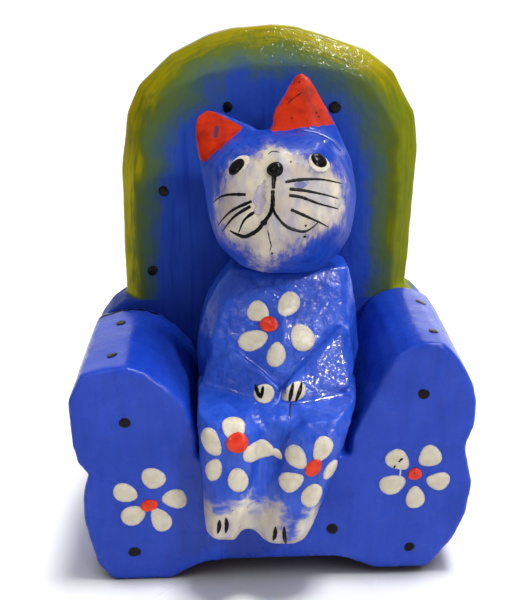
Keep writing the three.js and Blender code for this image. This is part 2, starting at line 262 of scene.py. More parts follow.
class Paint:
    """A node material: each method adds a node and gives back its output socket."""

    def __init__(self, name):
        self.material = bpy.data.materials.new(name)
        self.material.use_nodes = True
        self.nodes = self.material.node_tree.nodes
        self.shader = self.nodes["Principled BSDF"]
        self.place = self.nodes.new("ShaderNodeTexCoord").outputs["Object"]

    def set(self, node, socket, value):
        """Links value to the socket if it is another node's output, or writes it in."""
        target = node.inputs[socket]
        if isinstance(value, bpy.types.NodeSocket):
            self.material.node_tree.links.new(value, target)
        else:
            target.default_value = value

    def finish(self, **values):
        """Sets the shader's sockets by their names, with _ for a space."""
        for name, value in values.items():
            self.set(self.shader, name.replace("_", " "), value)
        return self.material

    def stretched(self, x, y, z):
        """The place on the object, scaled along each axis."""
        node = self.nodes.new("ShaderNodeMapping")
        self.set(node, "Vector", self.place)
        self.set(node, "Scale", (x, y, z))
        return node.outputs["Vector"]

    def noise(self, size, detail=3.0, stretch=None, distortion=0.0):
        """Noise from 0 to 1 with lumps of about this size in millimetres."""
        node = self.nodes.new("ShaderNodeTexNoise")
        self.set(node, "Vector", self.stretched(*stretch) if stretch else self.place)
        self.set(node, "Scale", 1 / (size * MM))
        self.set(node, "Detail", detail)
        self.set(node, "Distortion", distortion)
        return node.outputs["Fac"]

    def cells(self, size):
        """The distance to the nearest of scattered centres, in cells of this size."""
        node = self.nodes.new("ShaderNodeTexVoronoi")
        self.set(node, "Vector", self.place)
        self.set(node, "Scale", 1 / (size * MM))
        return node.outputs["Distance"]

    def attribute(self, name):
        """A number stored at the mesh's points."""
        node = self.nodes.new("ShaderNodeAttribute")
        node.attribute_name = name
        return node.outputs["Fac"]

    def math(self, operation, first, second=0.0):
        """A sum, product or the like of one or two values."""
        node = self.nodes.new("ShaderNodeMath")
        node.operation = operation
        self.set(node, 0, first)
        self.set(node, 1, second)
        return node.outputs[0]

    def span(self, value, low, high, to_low=0.0, to_high=1.0):
        """Value from low to high as a smooth rise from to_low to to_high."""
        node = self.nodes.new("ShaderNodeMapRange")
        node.interpolation_type = "SMOOTHSTEP"
        for socket, number in zip(("Value", "From Min", "From Max", "To Min", "To Max"),
                                  (value, low, high, to_low, to_high)):
            self.set(node, socket, number)
        return node.outputs["Result"]

    def either_way(self, value, reach):
        """Noise from 0 to 1 as a push of up to reach one way or the other."""
        return self.span(value, 0.25, 0.75, -reach, reach)

    def patchy_gloss(self, size, least):
        """The attribute gloss, down to its least share between patches of this size."""
        patches = self.span(self.noise(size, 2, distortion=0.8), 0.40, 0.58, least, 1)
        return self.math("MULTIPLY", self.attribute("gloss"), patches)

    def blend(self, share, first, second):
        """The first colour, and the second where share is 1."""
        node = self.nodes.new("ShaderNodeMix")
        node.data_type = "RGBA"
        for index, value in ((0, share), (6, first), (7, second)):  # its share and colour sockets
            self.set(node, index, value)
        return node.outputs[2]

    def ramp(self, value, *stops):
        """A colour ramp of (place, colour) stops."""
        node = self.nodes.new("ShaderNodeValToRGB")
        self.set(node, "Fac", value)
        elements = node.color_ramp.elements
        while len(elements) < len(stops):
            elements.new(0.5)
        for element, (place, colour) in zip(elements, stops):
            element.position = place
            element.color = colour
        return node.outputs["Color"]

    def streaks(self, across, along):
        """Brush marks of this width and length in millimetres, along lines of equal rim."""
        separate = self.nodes.new("ShaderNodeSeparateXYZ")
        self.set(separate, "Vector", self.place)
        vector = self.nodes.new("ShaderNodeCombineXYZ")
        self.set(vector, "X", self.math("DIVIDE", self.attribute("rim"), across))
        self.set(vector, "Y", self.math("DIVIDE", separate.outputs["X"], along * MM))
        self.set(vector, "Z", self.math("DIVIDE", separate.outputs["Z"], along * MM))
        node = self.nodes.new("ShaderNodeTexNoise")
        self.set(node, "Vector", vector.outputs["Vector"])
        self.set(node, "Scale", 1.0)
        self.set(node, "Detail", 3.0)
        return node.outputs["Fac"]

    def bump(self, height, depth, before=None):
        """A bumped normal: height from 0 to 1 stands for this depth in millimetres."""
        node = self.nodes.new("ShaderNodeBump")
        self.set(node, "Distance", depth * MM)
        self.set(node, "Height", height)
        if before:
            self.set(node, "Normal", before)
        return node.outputs["Normal"]


CHAIR_BLUE = srgb(20, 58, 170)
CHAIR_BLUE_LIGHT = srgb(34, 68, 182)
CHAIR_BLUE_DARK = srgb(6, 36, 140)
BACK_BLUE = srgb(42, 76, 172)
BACK_BLUE_DARK = srgb(34, 62, 156)
CAT_BLUE = srgb(26, 66, 174)
CAT_BLUE_LIGHT = srgb(44, 84, 194)
CAT_BLUE_DARK = srgb(10, 46, 146)
# YELLOW, YELLOW_DARK and YELLOW_SHADE are one yellow as painted light, half light and painted shade
YELLOW = srgb(166, 160, 8)
YELLOW_DARK = srgb(148, 132, 2)
YELLOW_SHADE = srgb(112, 118, 10)
OLIVE = srgb(86, 98, 26)
GREEN = srgb(78, 98, 66)
TEAL = srgb(60, 86, 104)
CREAM = srgb(206, 198, 178)
CREAM_DARK = srgb(194, 182, 160)
LILAC = srgb(104, 110, 172)
ASHEN = srgb(152, 138, 134)
SMUDGE = srgb(72, 84, 150)
RED = srgb(222, 54, 14)
RED_DARK = srgb(192, 34, 10)
EAR_RED = srgb(184, 42, 8)
EAR_RED_DARK = srgb(146, 28, 8)
BRUISE = srgb(66, 40, 74)
FADED = srgb(136, 132, 176)
# a darker copy of LILAC for the head's thin veil: painted shade
SHADED_HEAD_VEIL = srgb(92, 96, 160)
BLACK = srgb(4, 4, 7)
BROWN_BLACK = srgb(20, 14, 16)
# the colour of the painted shadow in the gap between the left arm and the backrest
GAP_SHADOW = srgb(8, 16, 56)
BARE_WOOD = srgb(206, 172, 122)
WOOD_DARK = srgb(160, 118, 74)
# the colour of the painted shade on the floor round the figure
PAINTED_FLOOR_SHADE = srgb(110, 100, 96)


def specks(paint, colour, size, amount, dark):
    """Sparse dark specks: cells of this size, with a dot of radius amount in some of them."""
    dot = paint.span(paint.cells(size), amount, 0.6 * amount)
    patchy = paint.span(paint.noise(size * 4), 0.52, 0.60)
    return paint.blend(paint.math("MULTIPLY", dot, patchy), colour, dark)


def chair_paint():
    """Even satin blue over wood whose upright grain still shows."""
    paint = Paint("chair_paint")
    cloud = paint.noise(14, 2)
    streak = paint.noise(1.2, 3, stretch=(1, 1, 0.10))
    colour = paint.blend(paint.span(cloud, 0.3, 0.7), CHAIR_BLUE, CHAIR_BLUE_LIGHT)
    colour = paint.blend(paint.span(streak, 0.40, 0.75, 0, 0.3), colour, CHAIR_BLUE_DARK)
    colour = specks(paint, colour, 2.6, 0.10, CHAIR_BLUE_DARK)
    normal = paint.bump(paint.noise(2.4, 3), 0.10)
    normal = paint.bump(streak, 0.03, before=normal)
    roughness = paint.span(paint.noise(5), 0.3, 0.7, 0.22, 0.34)
    return paint.finish(Base_Color=colour, Roughness=roughness, Normal=normal, IOR=1.33)


def back_paint():
    """Blue that turns green, olive and yellow towards the arch, brushed along its curve."""
    paint = Paint("back_paint")
    grain = paint.noise(1.3, 3, stretch=(1, 1, 0.08))
    cloud = paint.noise(16, 2)
    blue = paint.blend(paint.span(cloud, 0.3, 0.7), BACK_BLUE, BACK_BLUE_DARK)
    blue = paint.blend(paint.span(grain, 0.42, 0.72, 0, 0.35), blue, CHAIR_BLUE_DARK)
    brushed = paint.streaks(0.55, 9)
    depth = paint.attribute("rim")
    for marks, reach in ((paint.noise(9, 3), 1.3), (brushed, 0.5), (grain, 0.5)):
        depth = paint.math("ADD", depth, paint.either_way(marks, reach))
    share = paint.math("DIVIDE", depth, ARCH_FADE)
    # Painted light and shade: the yellow runs from its shaded copy to its lit copy by lit.
    yellow = paint.ramp(paint.attribute("lit"), (0.0, YELLOW_SHADE), (0.5, YELLOW_DARK), (1.0, YELLOW))
    yellow = paint.blend(paint.span(brushed, 0.45, 0.75, 0, 0.65), yellow, OLIVE)
    edge = paint.ramp(share, (0.24, OLIVE), (0.38, GREEN), (0.52, TEAL), (0.68, BACK_BLUE))
    edge = paint.blend(paint.span(share, 0.06, 0.30), yellow, edge)
    colour = paint.blend(paint.span(share, 0.55, 0.85), edge, blue)
    normal = paint.bump(paint.noise(2.0, 3), 0.14)
    normal = paint.bump(brushed, 0.03, before=normal)
    pooled = paint.bump(paint.noise(1.3, 1.5, distortion=0.9), 0.3)
    roughness = paint.span(paint.noise(4), 0.3, 0.7, 0.28, 0.42)
    return paint.finish(Base_Color=colour, Roughness=roughness, Normal=normal, IOR=1.06,
                        Coat_Weight=paint.patchy_gloss(1.8, 0.1), Coat_Roughness=0.06,
                        Coat_Normal=pooled)


def cat_blue(paint, shade=0.0):
    """The cat's blue, darker along its grain and by shade all over."""
    cloud = paint.noise(8, 3)
    streak = paint.noise(1.0, 3, stretch=(1, 1, 0.14))
    colour = paint.blend(paint.span(cloud, 0.3, 0.7), CAT_BLUE, CAT_BLUE_LIGHT)
    colour = paint.blend(paint.span(streak, 0.45, 0.75, shade, 0.5 + shade), colour, CAT_BLUE_DARK)
    return specks(paint, colour, 2.2, 0.11, CAT_BLUE_DARK)


def white_wash(paint, blue, name, brush, veil, reach, wear):
    """White brushed over the blue where the named attribute is positive, ragged by the brush noise.

    A thin veil of colour reaches out from it by this many millimetres, and wear is how much of it is
    rubbed.
    """
    wander = paint.noise(4.5, 4, distortion=0.6)
    depth = paint.math("ADD", paint.attribute(name), paint.either_way(wander, 1.2))
    depth = paint.math("ADD", depth, paint.either_way(brush, 0.9))
    thin = paint.blend(paint.span(depth, -reach, 1.2), blue, veil)
    worn = paint.span(paint.noise(2.8, 4, stretch=(1, 1, 0.4)), 0.40, 0.70, 0, wear)
    cream = paint.blend(paint.span(paint.noise(6), 0.35, 0.65), CREAM, CREAM_DARK)
    ashes = paint.noise(9, 4, stretch=(1, 1, 0.7))
    cream = paint.blend(paint.span(ashes, 0.42, 0.62, 0, 0.55), cream, ASHEN)
    white = paint.blend(worn, specks(paint, cream, 1.9, 0.11, BROWN_BLACK), LILAC)
    return paint.blend(paint.span(depth, -1.1, 2.3), thin, white)


def body_paint():
    """Thick glossy blue with white socks, flooded on so that it stands in small lumps."""
    paint = Paint("body_paint")
    brush = paint.noise(1.1, 4, stretch=(0.4, 1, 0.8), distortion=0.5)
    colour = white_wash(paint, cat_blue(paint), "sock", brush, LILAC, 1.8, 0.34)
    normal = paint.bump(paint.noise(1.9, 2, distortion=0.5), 0.22)
    pooled = paint.bump(paint.noise(1.4, 1.3, distortion=1.0), 0.18)
    return paint.finish(Base_Color=colour, Roughness=0.3, Normal=normal, IOR=1.25,
                        Coat_Weight=paint.patchy_gloss(3.2, 0.35), Coat_IOR=1.36, Coat_Roughness=0.05,
                        Coat_Normal=pooled)


def head_paint():
    """Satin blue with a white muzzle that fades out in brush marks, and red ears."""
    paint = Paint("head_paint")
    brush = paint.noise(1.0, 4, stretch=(1, 1, 0.3), distortion=0.6)
    # The head's thin veil is the darker copy of the lilac: painted shade.
    colour = white_wash(paint, cat_blue(paint, 0.5), "muzzle", brush, SHADED_HEAD_VEIL, 3.0, 0.4)
    ragged = paint.either_way(paint.noise(1.1, 3), 0.5)
    rubbed = paint.span(paint.math("ADD", paint.attribute("rubbed"), ragged), -0.35, 0.35, 0, 0.8)
    colour = paint.blend(rubbed, colour, SMUDGE)
    scar = paint.math("ADD", paint.attribute("scar"), ragged)
    colour = paint.blend(paint.span(scar, -0.3, 0.7, 0, 0.5), colour, FADED)
    outline = paint.span(paint.math("ABSOLUTE", scar), 0.3, 0.1, 0, 0.4)
    broken = paint.span(paint.noise(2.0), 0.4, 0.55)
    colour = paint.blend(paint.math("MULTIPLY", outline, broken), colour, BRUISE)
    wobble = paint.span(paint.noise(1.5, 2), 0.3, 0.7, -0.2, 0.2)
    ear = paint.span(paint.math("ADD", paint.attribute("ear"), wobble), -0.12, 0.12)
    red = paint.blend(paint.span(paint.noise(3.5, 3), 0.35, 0.7), EAR_RED, EAR_RED_DARK)
    colour = paint.blend(ear, colour, specks(paint, red, 1.3, 0.14, BROWN_BLACK))
    colour = paint.blend(paint.span(paint.attribute("nick"), -0.2, 0.25, 0, 0.85), colour, BRUISE)
    normal = paint.bump(paint.noise(2.2, 3, distortion=0.4), 0.14)
    pooled = paint.bump(paint.noise(1.6, 1.3, distortion=0.9), 0.10)
    return paint.finish(Base_Color=colour, Roughness=0.4, Normal=normal, IOR=1.14,
                        Coat_Weight=paint.attribute("gloss"), Coat_IOR=1.36, Coat_Roughness=0.06,
                        Coat_Normal=pooled)


def dab_paint(name, colour, second, under, roughness=0.3, ior=1.36):
    """Thick paint dabbed on in blobs, thin at the rim so that what is under it shows a little."""
    paint = Paint(name)
    mixed = paint.blend(paint.span(paint.noise(1.8, 3), 0.35, 0.7), colour, second)
    ragged = paint.span(paint.noise(0.6, 2), 0.3, 0.7, -0.10, 0.10)
    rim = paint.span(paint.math("ADD", paint.attribute("rim"), ragged), 0.86, 1.04, 0, 0.55)
    mixed = paint.blend(rim, mixed, under)
    normal = paint.bump(paint.noise(0.9, 3), 0.06)
    return paint.finish(Base_Color=mixed, Roughness=roughness, Normal=normal, IOR=ior)


def wood():
    """Bare wood, for the dowels."""
    paint = Paint("bare_wood")
    grain = paint.noise(1.0, 4, stretch=(1, 1, 0.1))
    return paint.finish(Base_Color=paint.blend(grain, BARE_WOOD, WOOD_DARK), Roughness=0.7)


# ---------------- brushwork in relief

def from_front(x, z):
    """A line that meets the figure at this place, seen from straight ahead."""
    return metres(x, -60, z), Vector((0, 1, 0))


def from_behind(x, z):
    """The same, seen from straight behind; the next three are seen from above and from the sides."""
    return metres(x, 60, z), Vector((0, -1, 0))


def from_above(x, y):
    return metres(x, y, 90), Vector((0, 0, -1))


def from_left(y, z):
    return metres(-80, y, z), Vector((1, 0, 0))


def from_right(y, z):
    return metres(80, y, z), Vector((-1, 0, 0))


def on_face(x, z):
    """A line that meets the face at this place of the untilted head."""
    tilt = Matrix.Rotation(-HEAD_TILT, 3, "X")
    start = HEAD_CENTRE + tilt @ Vector((x, -40, z))
    return metres(*start), tilt @ Vector((0, 1, 0))


class Ground:
    """The surface of some pieces, which a brush meets."""

    def __init__(self, *pieces):
        bm = bmesh.new()
        for piece in pieces:
            bm.from_mesh(piece.data)
        self.tree = BVHTree.FromBMesh(bm)
        bm.free()

    def meet(self, start, toward):
        """The place where a line meets the surface, and the direction that it faces there."""
        place, normal, _, _ = self.tree.ray_cast(start, toward)
        if place is None:
            raise ValueError(f"a dab misses the surface: {start} {toward}")
        return place, normal

    def facing(self, start, toward, reach):
        """The mean direction that the surface faces round the place that a line meets."""
        across = toward.orthogonal().normalized() * reach * MM
        upward = toward.cross(across)
        around = [start, start + across, start - across, start + upward, start - upward]
        hits = [self.tree.ray_cast(place, toward)[1] for place in around]
        return sum((hit for hit in hits if hit is not None), Vector()).normalized()

    def drop(self, place, normal, reach=4.0):
        """The surface point under place, or place itself where the surface falls away."""
        hit, _, _, _ = self.tree.ray_cast(place + normal * reach * MM, -normal, 2 * reach * MM)
        return hit if hit is not None else place


class Dabs:
    """Closed domes and ridges of thick paint, gathered into one piece."""

    AROUND = 36               # points round a dab
    RINGS = (0.25, 0.5, 0.72, 0.88, 0.97, 1.0)
    EDGE = 0.08               # how thick a dab is at its rim
    UNDER = 0.25              # how far a dab reaches below the surface
    UNDERCUT = 0.8            # a stroke's width down there, as a share

    PETAL_LENGTH = 1.12       # how much longer and wider than listed a petal is painted
    PETAL_WIDTH = 1.15
    PETAL_TAPER = 0.24

    def __init__(self, name, ground, seed):
        self.name = name
        self.ground = ground
        self.random = np.random.default_rng(seed)
        self.points, self.faces, self.rims = [], [], []

    def add_point(self, place, rim):
        """Adds a point that is this share of the way out to the rim, and gives back its number."""
        self.points.append(place)
        self.rims.append(rim)
        return len(self.points) - 1

    def bridge(self, first, second):
        """Joins two rings of the same number of points."""
        for index in range(len(first)):
            after = (index + 1) % len(first)
            self.faces.append((first[index], first[after], second[after], second[index]))

    def fan(self, tip, ring):
        """Closes a ring of points to its tip."""
        for index in range(len(ring)):
            self.faces.append((tip, ring[index], ring[(index + 1) % len(ring)]))

    def dab(self, line, length, width, turn=0.0, taper=0.0, height=0.3, lift=0.0, straight=False):
        """An egg-shaped dome: its long axis at the angle turn, narrower by taper at that end.

        A straight one has its length and width as seen along the line, not across the surface. Lift
        raises all of it but the rim, so that it can lie on another dab.
        """
        middle, _ = self.ground.meet(*line)
        normal = -line[1] if straight else self.ground.facing(*line, min(length, width) / 2)
        level = Vector((0, 0, 1)) if abs(normal.z) < 0.9 else Vector((0, 1, 0))
        right = level.cross(normal).normalized()
        up = normal.cross(right)
        sway = self.random.uniform(0, 2 * math.pi, 2)
        angle = math.radians(turn)

        def spot(around, share):
            ripple = 1 + 0.03 * math.sin(2 * around + sway[0]) + 0.025 * math.sin(3 * around + sway[1])
            along = share * ripple * length / 2 * math.cos(around)
            across = share * ripple * width / 2 * math.sin(around) * (1 - taper * math.cos(around))
            x = along * math.cos(angle) - across * math.sin(angle)
            y = along * math.sin(angle) + across * math.cos(angle)
            return self.ground.drop(middle + (right * x + up * y) * MM, normal)

        top = self.add_point(middle + normal * (self.EDGE + height + lift) * MM, 0.0)
        turns = [2 * math.pi * index / self.AROUND for index in range(self.AROUND)]
        rings = []
        for share in self.RINGS:
            rise = self.EDGE + height * (1 - share ** 3) ** 0.6 + lift * (share < 1)
            places = [spot(around, share) + normal * rise * MM for around in turns]
            rings.append([self.add_point(place, share) for place in places])
        below = [self.add_point(spot(around, 0.97) - normal * self.UNDER * MM, 1.0) for around in turns]
        bottom = self.add_point(middle - normal * self.UNDER * MM, 1.0)
        self.fan(top, rings[0])
        for inner, outer in zip(rings, rings[1:] + [below]):
            self.bridge(inner, outer)
        self.fan(bottom, below[::-1])

    def stroke(self, aim, places, widths, height=0.12):
        """A rounded ridge along a smooth curve through places; widths are spread evenly along it."""
        curve = smooth_curve(places)
        met = [self.ground.meet(*aim(*place)) for place in curve]
        shares = np.linspace(0, 1, len(curve))
        breadth = np.interp(shares, np.linspace(0, 1, len(widths)), widths)
        breadth = breadth * (1 + 0.08 * self.random.standard_normal(len(curve)))
        section = [(math.cos(turn), math.sin(turn)) for turn in np.linspace(0, math.pi, 7)]
        rings = []
        for index, (place, normal) in enumerate(met):
            ahead = met[min(index + 1, len(met) - 1)][0] - met[max(index - 1, 0)][0]
            side = ahead.cross(normal).normalized()
            half = breadth[index] / 2
            ring = [place + (side * half * across + normal * (height * rise)) * MM
                    for across, rise in section]
            ring += [place + (side * half * self.UNDERCUT * across - normal * self.UNDER) * MM
                     for across in (-1, 1)]
            rings.append([self.add_point(point, 0.5) for point in ring])
        for first, second in zip(rings, rings[1:]):
            self.bridge(first, second)
        for ring, (place, normal) in ((rings[0][::-1], met[0]), (rings[-1], met[-1])):
            self.fan(self.add_point(place, 0.5), ring)

    def flower(self, aim, petals, middle):
        """Petals (across, up, length, width, turn) whose narrow ends point to the middle."""
        for across, up, length, width, turn in petals:
            inward = Vector((middle[0] - across, middle[1] - up))
            axis = Vector((math.cos(math.radians(turn)), math.sin(math.radians(turn))))
            taper = self.PETAL_TAPER if axis.dot(inward) > 0 else -self.PETAL_TAPER
            self.dab(aim(across, up), self.PETAL_LENGTH * length, self.PETAL_WIDTH * width, turn, taper)

    def finish(self, slot, material):
        """Makes the piece of all the dabs and strokes so far."""
        mesh = bpy.data.meshes.new(self.name)
        mesh.from_pydata(self.points, [], self.faces)
        bm = bmesh.new()
        bm.from_mesh(mesh)
        bmesh.ops.recalc_face_normals(bm, faces=bm.faces)
        bm.to_mesh(mesh)
        bm.free()
        mesh.shade_smooth()
        obj = add_object(self.name, mesh)
        store(obj, "rim", self.rims)
        return stands_for(obj, (), material)


def smooth_curve(places, step=0.35):
    """Points about a step apart on a smooth curve through these 2-D places."""
    corners = np.array([places[0], *places, places[-1]], float)
    curve = []
    for before, start, end, after in zip(corners, corners[1:], corners[2:], corners[3:]):
        count = max(2, int(np.linalg.norm(end - start) / step))
        for share in np.arange(count) / count:
            curve.append(0.5 * (2 * start + (end - before) * share
                                + (2 * before - 5 * start + 4 * end - after) * share ** 2
                                + (3 * start - before - 3 * end + after) * share ** 3))
    curve.append(corners[-1])
    return curve


# ---------------- the carved pieces

ARCH_OUTER = [
    (-38.5, -60), (-38.5, 66), (-38, 95), (-35.75, 109.5), (-32.5, 116.5), (-24, 124.25),
    (-14.5, 128.75), (-8, 130.5), (2, 131.25), (8, 130.75), (15.5, 128.5), (26, 125),
    (33, 120), (39.25, 109.25), (40.5, 99.5), (39.5, 67), (38.75, -60),
]
SHOULDER = 61.0  # the arch's yellow ends at this height
SOCKS = [
    (-20, 26.4), (-12.2, 26.3), (-9.9, 26.9), (-6.9, 28.6), (-4.3, 24.6), (-1, 26.2), (1.2, 26.8),
    (2.6, 25.6), (3.2, 23.2), (2.6, 20.5), (2.8, 18.2), (3.8, 17.4), (4.8, 18.4), (5.6, 22), (7.6, 25.6),
    (9.8, 25.4), (14, 10), (-20, 10),
]
MUZZLE = [
    (-3.5, 10.8), (0.5, 9.9), (3.5, 7.3), (5.7, 5.6), (7.5, 4.5), (10.4, 5.4), (12.5, 2.8), (12, -6.2),
    (9.1, -7.6), (4.7, -10.1), (2.5, -13.1), (-0.8, -14.2), (-4.8, -17.3), (-7.8, -14), (-13.6, -9.7),
    (-15.9, -5.8), (-15.8, -2.2), (-13.4, 3.8), (-12, 6.7), (-8, 7.7),
]
LEFT_EAR = [
    (-20.6, 15.5), (-20.2, 19.2), (-17, 21.2), (-13, 19), (-8.8, 16.4), (-12.9, 12), (-18, 7.8),
    (-19.6, 9.6),
]
RIGHT_EAR = [
    (-2.4, 14.8), (-1.3, 20.2), (2, 25.6), (3.8, 29.6), (5.6, 30.2), (7.1, 29.2), (12.8, 16.9),
    (9.1, 16.3), (5.8, 15.8),
]
EAR_NICK = ((-15.4, 14.2), (-15.1, 16.2))
BROW = ((4.6, 14.8), (9.4, 13.2), (13.6, 10.2))
SCRATCH = [(-4.4, 2.6), (-4.3, -0.8), (-4.6, -3.8), (-5.4, -5.7), (-6.6, -4.7), (-6.8, -1.6), (-5.6, 1.4)]
CHEEK_SMUDGE = (3.6, 1.5)
LEG_GROOVE = -2.0  # where along X the groove between the legs lies
PIMPLES = [(7.2, -7.0, 0.8), (4.2, -11.6, 0.9), (-1.2, 7.6, 1.0), (-0.6, -10.6, 0.7)]


def chair():
    """The arms and the seat, softened as one so that their front seams vanish, then parted again."""
    material = chair_paint()
    lower = joined("lower_chair", ("left_arm", "seat_block", "right_arm"), widen=("seat_block",))
    remesh(lower, WOOD_VOXEL)
    relax(lower, 6)
    add_waves(lower, (9, 0.12, 1), (3.5, 0.06, 2))
    for name, node, low, high in (
            ("left_arm_painted", "left_arm", None, SEAT_LEFT),
            ("seat_painted", "seat_block", SEAT_LEFT, SEAT_RIGHT),
            ("right_arm_painted", "right_arm", SEAT_RIGHT, None)):
        stands_for(cut_off(lower, name, low, high), (node,), material)
    ground = Ground(lower)
    bpy.data.objects.remove(lower)
    return ground


def backrest():
    """The board behind, with where its arch's colours run (rim), its gloss, and the painted light and shade
    on its yellow (lit).
    """
    back = joined("backrest_painted", ("backrest",))
    remesh(back, WOOD_VOXEL)
    relax(back, 3)
    add_waves(back, (10, 0.16, 3), (4, 0.08, 4))
    points = points_of(back)
    height = points[:, 2]
    rightness = np.interp(points[:, 0], (-38, 38), (0, 1))
    right_half = np.interp(points[:, 0], (0, 38), (0, 1))
    # The higher the spread, the narrower the colours lie along the arch's edge.
    spread = np.interp(height, (75, 100, 113, 120), (1.05, 0.74, 0.68, 0.92))
    spread -= right_half * np.interp(height, (75, 100, 118), (0.40, 0.16, 0.10))
    below = np.clip(SHOULDER - height, 0, 1)
    store(back, "rim", np.maximum(spread * inside(points[:, [0, 2]], ARCH_OUTER), ARCH_FADE * below))
    store(back, "gloss", np.interp(height, (118, 124), (0.02, 0.44)))
    # Painted light and shade on the arch's yellow, as lit: lightest on its top right, light on its lower
    # left, shaded on its right middle and top left.
    highness = np.interp(height, (113, 127), (0, 1))
    left_painted_light = (1 - rightness) * (1 - highness) * np.interp(height, (92, 104), (0.9, 0.5))
    store(back, "lit", left_painted_light + 1.05 * highness * rightness)
    stands_for(back, ("backrest",), back_paint())
    return Ground(back)


def cat_body():
    """The cat below its head, with the groove between its legs smoothed out by the paint in it."""
    body = joined("cat_body_painted", ("cat_body",))
    remesh(body, BODY_VOXEL)
    relax(body, 10)
    points = points_of(body)
    groove = np.clip(1.35 - np.abs(points[:, 0] - LEG_GROOVE) / 5.5, 0, 1)
    groove *= np.interp(points[:, 2], (42, 46), (1, 0))
    relax(body, 70, np.where(points[:, 1] < -20, groove, 0))
    add_waves(body, (7, 0.22, 5), (2.6, 0.09, 6), (1.5, 0.06, 9))
    points = points_of(body)
    store(body, "sock", inside(points[:, [0, 2]], SOCKS))
    # Glossiest over the forearms, and duller on the left side.
    gloss = np.interp(points[:, 2], (44, 48, 50, 57, 68), (0.8, 0.6, 1.0, 1.0, 0.45))
    store(body, "gloss", np.interp(points[:, 0], (-16, -9), (0.3, 1.0)) * gloss)
    return stands_for(body, ("cat_body",), body_paint())


def cat_head():
    """The head, rounder below than at its ears, with the dents and ridges and areas of its face."""
    head = joined("cat_head_painted", ("cat_head",))
    remesh(head, HEAD_VOXEL)
    crown = head_local(points_of(head))[:, 2]
    relax(head, 46, np.interp(crown, (11, 17), (1.0, 0.22)))
    add_waves(head, (7, 0.16, 7), (2.4, 0.06, 8))

    local = head_local(points_of(head))
    face = local[:, [0, 2]]
    normals = normals_of(head)
    front = local[:, 1] < 0
    scratch = np.where(front, inside(face, SCRATCH), -5.0)
    push = -0.3 * np.clip(scratch / 1.2, 0, 1)
    for x, z, radius in PIMPLES:
        away = np.linalg.norm(face - (x, z), axis=1) / radius
        push += np.where(front, 0.28 * np.clip(1 - away ** 2, 0, 1), 0)
    ridge = np.minimum(off_line(face, *BROW[:2]), off_line(face, *BROW[1:]))
    push += np.where(front, 0.7 * np.exp(-(ridge / 0.9) ** 2), 0)
    nick = 0.6 - off_line(face, *EAR_NICK)
    push -= np.where(front, 0.15 * np.clip(nick / 0.5, 0, 1), 0)
    move_points(head, points_of(head) + normals * push[:, None])

    forward = -head_local(normals + np.array(HEAD_CENTRE))[:, 1]
    # The white reaches a little further out on the right cheek than on the left.
    lean = np.interp(face[:, 0], (-14, -8, 8, 13), (-0.7, 0, 0, 1.2))
    store(head, "muzzle", np.minimum(inside(face, MUZZLE) + lean, 6 * forward))
    ears = np.maximum(inside(face, LEFT_EAR), inside(face, RIGHT_EAR))
    store(head, "ear", np.minimum(ears, 4 * (forward - 0.12)))
    store(head, "nick", np.where(front, nick, -5.0))
    store(head, "gloss", 0.06 + np.where(front, 0.94 * np.exp(-(ridge / 1.3) ** 2), 0))
    smudge = 1.0 - np.linalg.norm((face - CHEEK_SMUDGE) * (0.75, 1), axis=1)
    store(head, "rubbed", np.where(front, smudge, -5.0))
    store(head, "scar", scratch)
    stands_for(head, ("cat_head",), head_paint())
    return Ground(head)


chair_ground = chair()
back_ground = backrest()
cat_body_painted = cat_body()
body_ground = Ground(cat_body_painted)
head_ground = cat_head()

bare_wood = wood()
for node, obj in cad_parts.items():
    if "dowel" in node:
        obj.data.materials.clear()
        obj.data.materials.append(bare_wood)


# ---------------- flowers, dots, face and claws

white = dab_paint("white_paint", CREAM, CREAM_DARK, LILAC)
red = dab_paint("red_paint", RED, RED_DARK, RED_DARK)
black = dab_paint("black_paint", BLACK, BROWN_BLACK, BROWN_BLACK, roughness=0.2, ior=1.22)
ink = dab_paint("ink_paint", BROWN_BLACK, BLACK, BROWN_BLACK, roughness=0.4, ior=1.2)
run = dab_paint("run_paint", CAT_BLUE, CAT_BLUE_LIGHT, CAT_BLUE, roughness=0.1, ior=1.5)
# Painted shadow: dark paint for the gap between the left arm and the backrest, where shade falls.
gap_shadow = dab_paint("gap_shadow_paint", GAP_SHADOW, BLACK, CHAIR_BLUE_DARK, roughness=0.5, ior=1.2)

